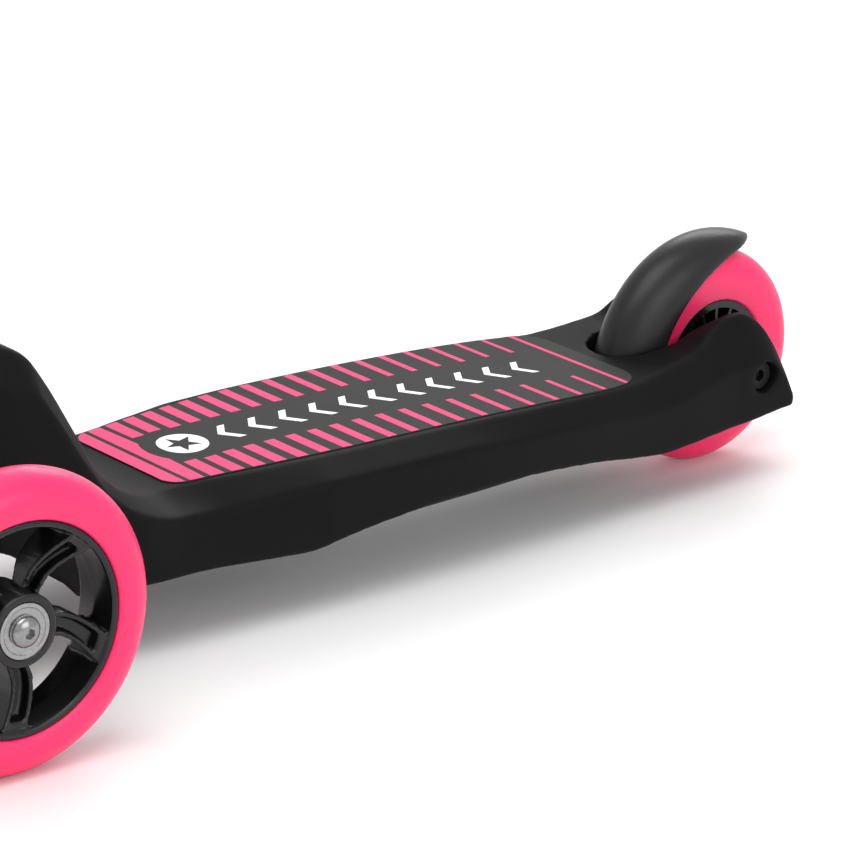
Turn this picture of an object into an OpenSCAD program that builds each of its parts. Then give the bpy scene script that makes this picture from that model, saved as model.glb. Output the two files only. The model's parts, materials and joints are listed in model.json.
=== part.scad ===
// Three-wheeled lean-to-steer kick scooter for small children.
// Frame: +Z up, -Y forward, +X to the rider's left. The origin is on the ground under the middle
// of the scooter. All sizes are millimetres.

/* [Overall] */
// Distance from the front axles to the rear axle
wheelbase = 460; // [370:1:560]
// Distance between the middles of the two front wheels
track = 232; // [215:1:285]
// Width of the deck at its widest
deck_w = 120; // [100:1:144]
// Height of the standing surface above the ground
deck_top = 64; // [60:1:77]
// Height of the handlebar axis above the ground, bar at rest
bar_height = 690; // [590:1:830]
// Width of the handlebar over its end caps
bar_w = 250; // [200:1:300]

/* [Front wheels] */
// Diameter of each front wheel
front_d = 120; // [110:1:144]
// Width of every tyre
tyre_w = 24; // [20:0.1:29]
// Height of a tyre's round crown above its flat flanks
tyre_crown = 12; // [9:0.5:14]
// Diameter where a front tyre meets its hub
front_rim_d = 85; // [75:1:95]
// Diameter of the hub's centre boss
boss_d = 30; // [27:1:34]
// Number of spokes
spokes = 5; // [3:1:7]
// Angle that a spoke swirls from the boss to the rim
spoke_swirl = 42; // [20:1:60]
// Wall of the hub's rim ring
rim_wall = 3.5; // [2.5:0.1:5]

/* [Rear wheel] */
// Diameter of the rear wheel
rear_d = 100; // [84:1:120]
// Diameter where the rear tyre meets its core
rear_core_d = 55; // [46:1:62]
// Number of fins in the rear core
core_fins = 16; // [8:1:24]

/* [Bearings and axles] */
// Bearing outer diameter
bearing_od = 22; // [18:0.1:26.5]
// Bearing bore
bearing_id = 8; // [7:1:9]
// Bearing width
bearing_w = 7; // [5:0.5:8]
// Diameter of an axle bolt's head
axle_head_d = 12.5; // [11:0.1:14]
// Height of an axle bolt's head
axle_head_h = 3.2; // [2.5:0.1:4.5]

/* [Deck] */
// Wall of the deck moulding
deck_wall = 3.5; // [2.5:0.1:5]
// Width of the top bevel on each side of the deck
bevel_w = 14; // [10:1:20]
// Drop of the crease below the standing surface
bevel_drop = 7.5; // [5:0.5:10]
// Height of the belly cover above the ground
belly_z = 26.5; // [22:0.5:29]
// Depth of the belly cover from its face to its rim
belly_h = 10; // [8:0.5:12]
// Thickness of the grip sheet
grip_t = 0.8; // [0.5:0.1:1.5]
// Half-width of the rear fork at the axle
fork_half = 45; // [42:0.5:50]
// Radius of the recess for the rear axle's ends
axle_recess_r = 7.2; // [7:0.1:8]
// Height of the front block above the front axle
block_rise = 97; // [90:1:110]

/* [Steering truck] */
// Lean of the kingpin from upright, its top forward
kingpin_lean = 40; // [30:1:45]
// Kingpin diameter
kingpin_d = 10; // [8:0.5:12]
// Diameter of the truck's centre boss
truck_boss_d = 32; // [28:1:34]
// Length of the truck's centre boss
truck_boss_h = 28; // [24:1:30]
// Thickness of each elastomer bushing
bushing_t = 3; // [2:0.5:4]
// Diameter of the truck's arm end
arm_d = 20; // [18:1:24]

/* [Stem] */
// Backward rake of the stem from upright
rake = 8; // [4:0.5:12]
// Wall of both stem tubes
tube_wall = 1.5; // [1.2:0.1:2]
// Outer diameter of the upper tube
upper_d = 28; // [23:0.5:34]
// Wall of the guide bush between the two tubes
bush_wall = 1.5; // [1:0.1:3]
// Length of the lower tube that stands above the front block
lower_len = 290; // [230:1:350]
// Length of the upper tube kept inside the lower tube at rest
tube_lap = 190; // [150:1:220]
// Length of stem held in the front block
socket_len = 62; // [50:1:66]
// Handlebar tube diameter
bar_d = 22; // [20:0.5:24]
// Grip diameter
grip_d = 31; // [28:0.5:34]
// Length of each grip
grip_len = 88; // [70:1:100]

/* [Clamp] */
// Radial thickness of the quick-release collar
collar_t = 5; // [4:0.5:7]
// Height of the collar
collar_h = 26; // [22:1:32]
// Width of the slit between the collar's ears
ear_slit = 3; // [2:0.5:4]
// Thickness of each ear
ear_t = 8; // [6:0.5:10]
// Diameter of the clamp bolt
clamp_bolt_d = 6; // [5:0.5:7]
// Diameter of the lever pin
lever_pin_d = 5; // [4:0.5:6]

/* [Fender] */
// Room between the rear tread's circle and the fender's crown circle
fender_room = 12.5; // [12:0.5:20]
// Drop of the crown's centre below the rear axle
fender_drop = 4; // [3:0.5:8]
// Wall of the fender
fender_wall = 2.5; // [2:0.1:3]
// Distance of the fender's pin ahead of the rear tread
pin_ahead = 10; // [8:0.5:11]
// Height of the fender's pin above the rear axle
pin_up = 2; // [0:0.5:4]
// Diameter of the fender's pin
pin_d = 6; // [5:0.5:7]
// Thickness of the brake pad
pad_t = 1.6; // [1:0.1:2]

/* [Clearances] */
// Radial clearance of a shaft that turns or slides in a bore
running = 0.05; // [0.03:0.01:0.1]
// Gap between faces that turn past each other
face_gap = 0.3; // [0.2:0.05:0.5]
// Gap between the rear tyre's flanks and the fender's skirts
skirt_gap = 1; // [0.8:0.1:2.5]
// Gap between the fender and the sides of its slot
slot_gap = 1.5; // [1:0.1:3]
// Gap between the fender's barrel and the deck
barrel_gap = 1; // [0.5:0.1:2]
// Gap between the cover and the deck's walls
cover_gap = 0.4; // [0.2:0.1:0.8]
// Gap round the release button
button_gap = 0.3; // [0.2:0.05:0.5]

/* [Hidden] */
$fn = 96;
front_r = front_d / 2;
rear_r = rear_d / 2;
// The outline runs from the front of the front tyres to the back of the rear tyre, about y = 0.
front_y = (front_d - rear_d) / 4 - wheelbase / 2;
rear_y = front_y + wheelbase;
deck_half = deck_w / 2;
axle_r = bearing_id / 2;
wheel_x = track / 2;
hub_half = tyre_w / 2 - 1;
fender_half = tyre_w / 2 + skirt_gap + fender_wall;
slot_half = fender_half + slot_gap;
fender_r = rear_r + fender_room;
// Angles of the fender's base and tip from straight up, positive to the rear
fender_from = -84;
fender_to = 24;
lower_d = upper_d + 2 * (bush_wall + tube_wall);
block_top = front_r + block_rise;
arm_end_x = wheel_x - hub_half - 1.5 - face_gap;

// ---------- helpers ----------

function mix(a, b, t) = a + (b - a) * t;

// A rod along X from x0 to x1.
module rod_x(x0, x1, r, y, z) {
    translate([x0, y, z]) rotate([0, 90, 0]) cylinder(h = x1 - x0, r = r);
}

// A tube along X from x0 to x1.
module tube_x(x0, x1, r_out, r_in, y, z) {
    translate([x0, y, z]) rotate([0, 90, 0]) difference() {
        cylinder(h = x1 - x0, r = r_out);
        translate([0, 0, -1]) cylinder(h = x1 - x0 + 2, r = r_in);
    }
}

// Turns a profile of [radius, along] points about an axis along X.
module turned_x(x, y, z) {
    translate([x, y, z]) rotate([0, 90, 0]) rotate_extrude() children();
}

// A solid through a list of rings with the same number of points.
module loft(rings) {
    n = len(rings[0]);
    m = len(rings);
    points = [for (ring = rings) for (p = ring) p];
    sides = [for (i = [0:m - 2]) for (j = [0:n - 1])
        each [[i * n + j, (i + 1) * n + (j + 1) % n, i * n + (j + 1) % n],
              [i * n + j, (i + 1) * n + j, (i + 1) * n + (j + 1) % n]]];
    first = [for (j = [0:n - 1]) j];
    last = [for (j = [n - 1:-1:0]) (m - 1) * n + j];
    polyhedron(points, concat([first], sides, [last]));
}

// ---------- deck ----------

// Stations of the deck moulding, front to back. Each holds: y, half-width of the crease, half-width
// of the top, height of the top, height of the crease, height of the wall's lower edge.
crease_z = deck_top - bevel_drop;
block_half = deck_half - 3;
function risen(f) = mix(deck_top, block_top, f);
fork_top = rear_r + 28;
STATIONS = [
    [front_y - 52, block_half - 27, block_half - 36, risen(0.50), risen(0.34), front_r - 6],
    [front_y - 42, block_half - 15, block_half - 25, risen(0.72), risen(0.53), front_r - 14],
    [front_y - 25, block_half - 5, block_half - 15, risen(0.90), risen(0.72), front_r - 19],
    [front_y - 5, block_half - 1, block_half - 10, risen(1.00), risen(0.83), front_r - 22],
    [front_y + 20, block_half, block_half - 9, risen(0.93), risen(0.78), front_r - 24],
    [front_y + 42, block_half, block_half - 9, risen(0.81), risen(0.65), front_r - 25],
    [front_y + 54, block_half, block_half - 9, risen(0.74), risen(0.60), front_r - 26],
    [front_y + 62, block_half, block_half - 9, risen(0.63), risen(0.48), front_r - 26],
    [front_y + 78, block_half, block_half - 9, risen(0.36), risen(0.23), front_r - 27],
    [front_y + 90, block_half, block_half - 9, risen(0.16), risen(0.08), front_r - 27],
    [front_y + 104, block_half + 1, block_half - 11, risen(0.06), mix(crease_z, deck_top, 0.7), 31.5],
    [front_y + 130, deck_half - 1, deck_half - 22, deck_top, crease_z + 0.5, 31.5],
    [front_y + 145, deck_half - 0.5, deck_half - 21, deck_top, crease_z + 0.5, 31],
    [front_y + 192, deck_half, deck_half - bevel_w - 1, deck_top, crease_z + 0.5, 28.3],
    [front_y + 228, deck_half, deck_half - bevel_w, deck_top, crease_z + 0.5, 33.5],
    [mix(front_y, rear_y, 0.58), deck_half - 1, deck_half - bevel_w, deck_top, crease_z, 36],
    [mix(front_y, rear_y, 0.65), deck_half - 3, deck_half - bevel_w, deck_top, crease_z - 2, 36],
    [rear_y - 110, deck_half - 7.5, deck_half - bevel_w - 2, deck_top, crease_z - 5, 32.5],
    [rear_y - 78, fork_half + 4, fork_half - 4, deck_top, crease_z - 8, 27.8],
    [rear_y - 60, fork_half + 2.5, fork_half - 7, deck_top, crease_z - 7.5, 26],
    [rear_y - 42, fork_half + 1.5, fork_half - 10, deck_top + 2, crease_z - 1.5, 27],
    [rear_y - 28, fork_half + 0.5, fork_half - 13, fork_top - 5, crease_z + 0.5, 28],
    [rear_y - 16, fork_half, fork_half - 14, fork_top - 0.8, crease_z + 1, 29.2],
    [rear_y - 6, fork_half, fork_half - 14, fork_top, crease_z + 1.5, 30],
    [rear_y + 4, fork_half, fork_half - 12, fork_top - 5, crease_z, 31.3],
    [rear_y + 11, fork_half, fork_half - 8, fork_top - 16, crease_z - 6, 32.2],
    [rear_y + 19, fork_half, fork_half - 7, fork_top - 34, crease_z - 20, 33]
];

// Ring of one station, shrunk by a wall on the sides and by a skin on top.
function deck_ring(s, wall, skin, floor_z) =
    let (w = s[1] - wall, t = s[2] - wall * 0.8, zt = s[3] - skin, zc = s[4] - skin * 0.7,
         half = [[t, zt], [mix(t, w, 0.6), mix(zt, zc, 0.45)], [w, zc], [w - 1, floor_z]])
    concat([for (p = half) [p[0], s[0], p[1]]], [for (i = [3:-1:0]) [-half[i][0], s[0], half[i][1]]]);

module deck_body() {
    loft([for (s = STATIONS) deck_ring(s, 0, 0, s[5])]);
}

bay_back = rear_y - rear_r - 60;
bay_front = front_y + 90;
slot_y = rear_y + fender_r * sin(fender_from) - slot_gap + slot_half;
recess_x = fork_half - 10;
module front_bay() {
    loft([for (s = STATIONS) if (s[0] > front_y - 50 && s[0] < front_y + 79)
        deck_ring(s, deck_wall, deck_wall + 0.5, 0)]);
}

module deck_bay() {
    loft([for (s = STATIONS) if (s[0] > front_y + 89 && s[0] < rear_y - 100)
        deck_ring(s, deck_wall, deck_wall + 0.5, 0)]);
}

// The kingpin runs through the middle of the front axle line, leaning forward.
module on_kingpin() {
    translate([0, front_y, front_r]) rotate([kingpin_lean, 0, 0]) children();
}
pin_seat = truck_boss_h / 2 + bushing_t + face_gap;
kingpin_up = pin_seat + 30;

// The stem's own frame: its origin is the bottom of the socket.
stem_y = front_y + 3;
socket_z = front_r + 40;
module on_stem() {
    translate([0, stem_y, socket_z]) rotate([-rake, 0, 0]) children();
}
collar_lift = socket_len + 4;
socket_r = lower_d / 2 + 3;
button_up = 38;
button_r = 5;
button_out = 43;
flange_r = 7.5;

arch_r = 100;
arm_room = 15;
module truck_arch() {
    rod_x(-deck_w, deck_w, arch_r, front_y, front_r - 93);
    // Room for the arms as the truck turns and leans
    for (y = [-arm_room, arm_room + 7])
        rod_x(-deck_w, deck_w, 14, front_y + y, front_r + 10);
    translate([-deck_w, front_y - arm_room, 0]) cube([2 * deck_w, 2 * arm_room + 7, front_r + 24]);
    translate([-deck_w, front_y - arm_room - 14, 0])
        cube([2 * deck_w, 2 * arm_room + 35, front_r + 10]);
}

screw_y = [bay_front + 22, mix(bay_front, bay_back, 0.5), bay_back - 14];
screw_x = deck_half * 0.45;
screw_r = 1.6;
screw_head_r = 3.8;
screw_boss_r = 5;
boss_z = belly_z + 6;

// What carries the kingpin and the stem inside the block
module block_core() {
    on_kingpin() translate([0, 0, pin_seat]) cylinder(h = 60, r = 15);
    translate([-7, front_y - 60, front_r + 26]) cube([14, 100, 120]);
    translate([-block_half, stem_y - 6, socket_z]) cube([2 * block_half, 12, 100]);
    on_stem() translate([0, 0, -5]) cylinder(h = 100, r = socket_r + 4);
}

module deck_shell() color([0.11, 0.11, 0.12]) {
    difference() {
        union() {
            difference() {
                deck_body();
                front_bay();
                deck_bay();
                truck_arch();
            }
            intersection() {
                deck_body();
                block_core();
            }
            // Ribs and screw bosses under the standing surface
            for (x = [-screw_x, 0, screw_x])
                translate([x - 1.25, bay_front - 6, deck_top - 16])
                    cube([2.5, bay_back - bay_front + 12, 14]);
            for (x = [-screw_x, screw_x], y = screw_y)
                translate([x, y, boss_z]) cylinder(h = deck_top - 3 - boss_z, r = screw_boss_r);
            // Raised collar round the stem
            on_stem() translate([0, 0, 34]) cylinder(h = collar_lift - 34, r = socket_r + 4);
        }
        on_stem() cylinder(h = 200, r = socket_r);
        on_stem() translate([0, 0, button_up]) rotate([90, 0, 0])
            cylinder(h = 60, r = button_r + button_gap);
        on_kingpin() cylinder(h = kingpin_up, r = kingpin_d / 2);
        // Slot for the rear wheel and the fender
        translate([0, slot_y, -1]) cylinder(h = 140, r = slot_half);
        translate([-slot_half, slot_y, -1]) cube([2 * slot_half, 120, 140]);
        // Room for the fender's barrel under the front of the slot
        translate([-slot_half, pin_y - barrel_r - barrel_gap, -1])
            cube([2 * slot_half, slot_half, pin_z + barrel_r + barrel_gap + 1]);
        rod_x(-60, 60, axle_r, rear_y, rear_r);
        rod_x(recess_x, 60, axle_recess_r, rear_y, rear_r);
        rod_x(-60, -recess_x, axle_recess_r, rear_y, rear_r);
        rod_x(-pin_half, pin_half, pin_d / 2, pin_y, pin_z);
        for (x = [-screw_x, screw_x], y = screw_y)
            translate([x, y, 0]) cylinder(h = belly_z + 22, r = screw_r);
    }
}

// Pan that closes the underside. Its floor is narrower than its rim.
cover_slope = 16;
function cover_ring(s, y, inset, z0, z1) =
    let (rim = s[1] - deck_wall - cover_gap - 0.6 - inset, floor_half = rim - cover_slope)
    [[-floor_half, y, z0], [-rim, y, z1], [rim, y, z1], [floor_half, y, z0]];
COVER = [for (s = STATIONS) if (s[0] > bay_front - 1 && s[0] < bay_back + 1) s];
module cover_loft(inset, end, z0, z1) {
    last = len(COVER) - 1;
    loft([for (i = [0:last])
        cover_ring(COVER[i], COVER[i][0] + (i == 0 ? end : i == last ? -end : 0), inset, z0, z1)]);
}

module deck_cover() color([0.07, 0.07, 0.08]) difference() {
    union() {
        difference() {
            cover_loft(0, cover_gap, belly_z, belly_z + belly_h);
            cover_loft(2.5, cover_gap + 2.5, belly_z + 2.5, belly_z + belly_h + 1);
            // Room for the screw bosses of the deck
            for (x = [-screw_x, screw_x], y = screw_y)
                translate([x, y, boss_z - face_gap]) cylinder(h = 60, r = screw_boss_r + cover_gap);
        }
        for (x = [-screw_x, screw_x], y = screw_y)
            translate([x, y, belly_z]) cylinder(h = boss_z - belly_z - face_gap, r = screw_boss_r);
    }
    for (x = [-screw_x, screw_x], y = screw_y) translate([x, y, belly_z - 1]) {
        cylinder(h = 3, r = screw_head_r + 0.2);
        cylinder(h = 20, r = screw_r + 0.2);
    }
}

module cover_screws() color([0.55, 0.56, 0.58]) {
    for (x = [-screw_x, screw_x], y = screw_y) translate([x, y, belly_z + 0.6]) difference() {
        union() {
            cylinder(h = 1.4, r = screw_head_r);
            cylinder(h = 16, r = screw_r);
        }
        translate([0, 0, -1]) cylinder(h = 1.8, r = 1.2, $fn = 6);
    }
}

// Outline of the grip sheet. Its sides follow the edge of the standing surface.
grip_back = rear_y - rear_r - 20;
grip_front = front_y + 133;
grip_inset = 2;
module grip_outline() {
    side = [for (s = STATIONS) if (s[0] > front_y + 140 && s[0] < rear_y - 90) [s[2] - grip_inset, s[0]]];
    rear_half = fork_half - 4 - grip_inset;
    outline = concat([[deck_half - bevel_w - 13, grip_front]], side,
        [[rear_half, grip_back - 10], [rear_half - 3, grip_back - 3], [rear_half - 10, grip_back]]);
    polygon(concat(outline, [for (i = [len(outline) - 1:-1:0]) [-outline[i][0], outline[i][1]]]));
}

module grip_sheet() color([0.29, 0.29, 0.30]) {
    translate([0, 0, deck_top]) linear_extrude(grip_t) grip_outline();
}

// ---------- stem ----------

module stem_socket() color([0.62, 0.63, 0.65]) on_stem() difference() {
    union() {
        cylinder(h = socket_len, r = socket_r);
        translate([0, 0, collar_lift]) cylinder(h = 1.6, r = socket_r + 3);
        cylinder(h = collar_lift + 1.6, r = socket_r);
    }
    translate([0, 0, 3]) cylinder(h = 200, r = lower_d / 2);
    translate([0, 0, button_up]) rotate([90, 0, 0]) cylinder(h = 60, r = button_r + button_gap);
}

lower_top = socket_len + lower_len;
module lower_tube() color([0.80, 0.81, 0.83]) on_stem() difference() {
    translate([0, 0, 3]) cylinder(h = lower_top - 3, r = lower_d / 2);
    translate([0, 0, 2]) cylinder(h = lower_top, r = lower_d / 2 - tube_wall);
    translate([0, 0, button_up]) rotate([90, 0, 0]) cylinder(h = 60, r = button_r + button_gap);
    translate([-1, -lower_d, lower_top - 30]) cube([2, lower_d, 40]);
}

bush_r = lower_d / 2 - tube_wall;
bush_len = 60;
module guide_bush() color([0.15, 0.15, 0.16]) on_stem() difference() {
    union() {
        translate([0, 0, lower_top - bush_len]) cylinder(h = bush_len, r = bush_r);
        translate([0, 0, lower_top]) cylinder(h = 2.5, r = lower_d / 2 + 1);
    }
    translate([0, 0, lower_top - bush_len - 1]) cylinder(h = bush_len + 9, r = upper_d / 2 + running);
    translate([-1, -lower_d, lower_top - 31]) cube([2, lower_d, 40]);
}

// The clamp's own frame: its origin is the middle of the collar.
module on_clamp() {
    on_stem() translate([0, 0, lower_top - collar_h / 2 - 1]) children();
}
collar_r = lower_d / 2 + collar_t;
ear_y = -collar_r - 8;
lever_x = ear_slit / 2 + ear_t + 7;

module clamp_collar() color([0.13, 0.13, 0.14]) on_clamp() difference() {
    union() {
        translate([0, 0, -collar_h / 2]) cylinder(h = collar_h, r = collar_r);
        translate([-ear_slit / 2 - ear_t, ear_y - 7, -9]) cube([ear_slit + 2 * ear_t, 15 + collar_t, 18]);
    }
    translate([0, 0, -collar_h]) cylinder(h = 2 * collar_h, r = lower_d / 2);
    translate([-ear_slit / 2, -3 * collar_r, -collar_h]) cube([ear_slit, 3 * collar_r, 2 * collar_h]);
    rod_x(-40, 40, clamp_bolt_d / 2, ear_y, 0);
}

module clamp_bolt() color([0.75, 0.76, 0.78]) on_clamp() difference() {
    union() {
        rod_x(-ear_slit / 2 - ear_t - 6, lever_x - lever_pin_d / 2 - 1, clamp_bolt_d / 2, ear_y, 0);
        translate([lever_x, ear_y, -3]) cylinder(h = 6, r = 5.5);
    }
    translate([lever_x, ear_y, -10]) cylinder(h = 20, r = lever_pin_d / 2);
}

module clamp_nut() color([0.60, 0.61, 0.63]) on_clamp() difference() {
    rod_x(-ear_slit / 2 - ear_t - 5, -ear_slit / 2 - ear_t, 6, ear_y, 0);
    rod_x(-40, 40, clamp_bolt_d / 2, ear_y, 0);
}

module lever_pin() color([0.75, 0.76, 0.78]) on_clamp() {
    translate([lever_x, ear_y, -8]) cylinder(h = 16, r = lever_pin_d / 2);
}

// Lever: two cheeks on the pin, then a blade that follows the collar round to the back.
module clamp_lever() color([0.13, 0.13, 0.14]) on_clamp() difference() {
    blade_r = collar_r + 3;
    reach = [for (a = [-25:10:75]) [blade_r * cos(a), blade_r * sin(a)]];
    back = [for (a = [75:-10:-25]) [(blade_r + 5) * cos(a), (blade_r + 5) * sin(a)]];
    union() {
        translate([lever_x, ear_y, -8]) cylinder(h = 16, r = 6);
        translate([0, 0, -8]) linear_extrude(16)
            polygon([[lever_x - 3, ear_y + 5], [blade_r * cos(-25), blade_r * sin(-25)],
                     [(blade_r + 5) * cos(-25), (blade_r + 5) * sin(-25)], [lever_x + 5.5, ear_y - 2]]);
        translate([0, 0, -8]) linear_extrude(16) polygon(concat(reach, back));
    }
    translate([lever_x, ear_y, -10]) cylinder(h = 20, r = lever_pin_d / 2 + running);
    translate([lever_x - 20, ear_y - 8, -3 - face_gap]) cube([28.5, 18, 6 + 2 * face_gap]);
}

// Button that holds the stem in its socket. It is pushed in to draw the stem out.
flange_out = sqrt(pow(bush_r, 2) - pow(flange_r, 2)) - 0.2;
module release_button() color([0.75, 0.76, 0.78]) on_stem() translate([0, 0, button_up])
    rotate([90, 0, 0]) {
        translate([0, 0, flange_out - 4]) cylinder(h = button_out - flange_out + 4, r = button_r);
        translate([0, 0, flange_out - 4]) cylinder(h = 4, r = flange_r);
    }

// Bent leaf spring inside the tube that pushes the button out. Its rear leg keeps the button's
// travel clear of the tube.
button_travel = 3.5;
leaf_t = 0.8;
module release_spring() color([0.70, 0.71, 0.72]) on_stem() translate([-4, 0, button_up]) {
    front = 4 - flange_out;
    back = flange_out - button_travel + leaf_t;
    translate([0, front, -6]) cube([8, leaf_t, 24]);
    translate([0, front, 18 - leaf_t]) cube([8, back - front, leaf_t]);
    translate([0, back - leaf_t, -6]) cube([8, leaf_t, 24]);
}

// Along the stem from the socket's bottom to the handlebar axis
bar_along = (bar_height - socket_z) / cos(rake);
joint_h = 46;

module upper_tube() color([0.85, 0.86, 0.88]) on_stem() difference() {
    bottom = lower_top - tube_lap;
    translate([0, 0, bottom]) cylinder(h = bar_along - 12 - bottom, r = upper_d / 2);
    translate([0, 0, bottom - 1]) cylinder(h = bar_along, r = upper_d / 2 - tube_wall);
}

module t_joint() color([0.12, 0.12, 0.13]) on_stem() difference() {
    union() {
        translate([0, 0, bar_along - joint_h]) cylinder(h = joint_h, r = upper_d / 2 + 4);
        rod_x(-32, 32, bar_d / 2 + 5, 0, bar_along);
    }
    translate([0, 0, bar_along - joint_h - 1]) cylinder(h = joint_h - 11, r = upper_d / 2);
    rod_x(-40, 40, bar_d / 2, 0, bar_along);
    translate([0, 0, bar_along - 30]) rotate([-90, 0, 0]) cylinder(h = 40, r = 2);
    translate([0, upper_d / 2 + 2, bar_along - 30]) rotate([-90, 0, 0]) cylinder(h = 40, r = 3.6);
}

module t_joint_screw() color([0.55, 0.56, 0.58]) on_stem() translate([0, 0, bar_along - 30])
    rotate([-90, 0, 0]) difference() {
    union() {
        translate([0, 0, upper_d / 2]) cylinder(h = 4, r = 2);
        translate([0, 0, upper_d / 2 + 2]) cylinder(h = 1.8, r = 3.5);
    }
    translate([0, 0, upper_d / 2 + 2.6]) cylinder(h = 10, r = 1.3, $fn = 6);
}

cap_t = 3;
module handlebar() color([0.85, 0.86, 0.88]) on_stem()
    tube_x(cap_t - bar_w / 2, bar_w / 2 - cap_t, bar_d / 2, bar_d / 2 - tube_wall, 0, bar_along);

module grip(side) color([1.0, 0.28, 0.49]) on_stem() mirror([side < 0 ? 1 : 0, 0, 0]) {
    out = bar_w / 2 - cap_t;
    translate([out - grip_len, 0, bar_along]) rotate([0, 90, 0]) rotate_extrude() polygon([
        [bar_d / 2, 0], [grip_d / 2 + 4, 0], [grip_d / 2 + 4, 4], [grip_d / 2 - 1, 6],
        [grip_d / 2, grip_len * 0.5], [grip_d / 2 - 1, grip_len - 6], [grip_d / 2 + 2, grip_len - 2],
        [grip_d / 2 + 1, grip_len], [bar_d / 2, grip_len]]);
}
module left_grip() grip(1);
module right_grip() grip(-1);

module end_cap(side) color([0.12, 0.12, 0.13]) on_stem() mirror([side < 0 ? 1 : 0, 0, 0]) {
    rod_x(bar_w / 2 - cap_t, bar_w / 2, grip_d / 2, 0, bar_along);
    rod_x(bar_w / 2 - cap_t - 12, bar_w / 2 - cap_t, bar_d / 2 - tube_wall, 0, bar_along);
}
module left_end_cap() end_cap(1);
module right_end_cap() end_cap(-1);

// ---------- steering truck ----------

module kingpin() color([0.75, 0.76, 0.78]) on_kingpin() {
    translate([0, 0, -pin_seat - 12]) cylinder(h = kingpin_up + pin_seat + 12 - 0.5, r = kingpin_d / 2);
}

module kingpin_washer() color([0.70, 0.71, 0.73]) on_kingpin() translate([0, 0, -pin_seat - 2])
    difference() {
    cylinder(h = 2, r = kingpin_d);
    translate([0, 0, -1]) cylinder(h = 4, r = kingpin_d / 2);
}

module kingpin_nut() color([0.70, 0.71, 0.73]) on_kingpin() translate([0, 0, -pin_seat - 10])
    difference() {
    cylinder(h = 8, r = kingpin_d * 0.92, $fn = 6);
    translate([0, 0, -1]) cylinder(h = 10, r = kingpin_d / 2);
}

module truck_beam() color([0.10, 0.10, 0.11]) difference() {
    union() {
        on_kingpin() translate([0, 0, -truck_boss_h / 2]) cylinder(h = truck_boss_h, r = truck_boss_d / 2);
        for (side = [-1, 1]) hull() {
            translate([side * 6, front_y, front_r]) rotate([kingpin_lean, 0, 0])
                cube([8, truck_boss_d - 4, truck_boss_h - 4], center = true);
            translate([side * arm_end_x, front_y, front_r]) rotate([0, -90 * side, 0])
                cylinder(h = 14, r = arm_d / 2, $fn = 32);
        }
    }
    on_kingpin() translate([0, 0, -40]) cylinder(h = 80, r = kingpin_d / 2 + running);
    for (side = [-1, 1]) mirror([side < 0 ? 1 : 0, 0, 0])
        rod_x(arm_end_x - bolt_grip, arm_end_x + 1, axle_r, front_y, front_r);
}

module truck_bushings() color([0.85, 0.85, 0.80]) on_kingpin() for (side = [-1, 1])
    mirror([0, 0, side < 0 ? 1 : 0]) translate([0, 0, truck_boss_h / 2]) difference() {
        cylinder(h = bushing_t, r = truck_boss_d / 2 - 3);
        translate([0, 0, -1]) cylinder(h = 10, r = kingpin_d / 2 + running);
    }

// ---------- wheels ----------

bolt_grip = 26;

module axle_bolt(side) color([0.78, 0.79, 0.81]) mirror([side < 0 ? 1 : 0, 0, 0]) {
    seat = wheel_x + hub_half + face_gap;
    difference() {
        union() {
            rod_x(arm_end_x - bolt_grip + 1, seat, axle_r, front_y, front_r);
            turned_x(seat, front_y, front_r) polygon(concat([[0, 0]],
                [for (a = [0:15:75]) [axle_head_d / 2 * cos(a), axle_head_h * sin(a)]], [[0, axle_head_h]]));
        }
        translate([seat + 1.2, front_y, front_r]) rotate([0, 90, 0]) cylinder(h = 9, r = 2.3, $fn = 6);
    }
}
module front_left_bolt() axle_bolt(1);
module front_right_bolt() axle_bolt(-1);

module axle_washers() color([0.70, 0.71, 0.73]) for (side = [-1, 1])
    mirror([side < 0 ? 1 : 0, 0, 0])
        tube_x(arm_end_x, arm_end_x + 1.5, axle_r + 2.6, axle_r, front_y, front_r);

// Sleeve between a wheel's two bearings. It stands still with the axle.
sleeve_half = hub_half - bearing_w - face_gap;
module front_left_sleeve() color([0.70, 0.71, 0.73])
    tube_x(wheel_x - sleeve_half, wheel_x + sleeve_half, axle_r + 2, axle_r, front_y, front_r);
module front_right_sleeve() color([0.70, 0.71, 0.73])
    tube_x(-wheel_x - sleeve_half, -wheel_x + sleeve_half, axle_r + 2, axle_r, front_y, front_r);

// Tyre: flat flanks, then a round crown.
module tyre(x, y, r, r_in) {
    flank = r - tyre_crown;
    half = tyre_w / 2;
    turned_x(x, y, r) polygon(concat(
        [[r_in, -half + 1.2], [r_in + 3, -half], [flank, -half]],
        [for (a = [-75:15:75]) [flank + tyre_crown * cos(a), half * sin(a)]],
        [[flank, half], [r_in + 3, half], [r_in, half - 1.2]]));
}

// Bearing ring with a shield set back between its two races.
module bearing(x, y, z) {
    ro = bearing_od / 2;
    ri = axle_r + running;
    turned_x(x, y, z) polygon([
        [ri, 0], [ri + 2, 0], [ri + 2, 0.5], [ro - 1.8, 0.5], [ro - 1.8, 0], [ro, 0],
        [ro, bearing_w], [ro - 1.8, bearing_w], [ro - 1.8, bearing_w - 0.5],
        [ri + 2, bearing_w - 0.5], [ri + 2, bearing_w], [ri, bearing_w]]);
}

module bearing_pair(x, y, z) color([0.66, 0.67, 0.69]) {
    bearing(x + hub_half - bearing_w, y, z);
    bearing(x - hub_half, y, z);
}

// Seats for the two bearings, and the wider clear bore between them
module hub_bores(x, y, z) {
    rod_x(x - 30, x + 30, bearing_od / 2 - 1.5, y, z);
    for (side = [-1, 1])
        rod_x(side > 0 ? x + hub_half - bearing_w : x - 30, side > 0 ? x + 30 : x - hub_half + bearing_w,
            bearing_od / 2, y, z);
}

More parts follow.
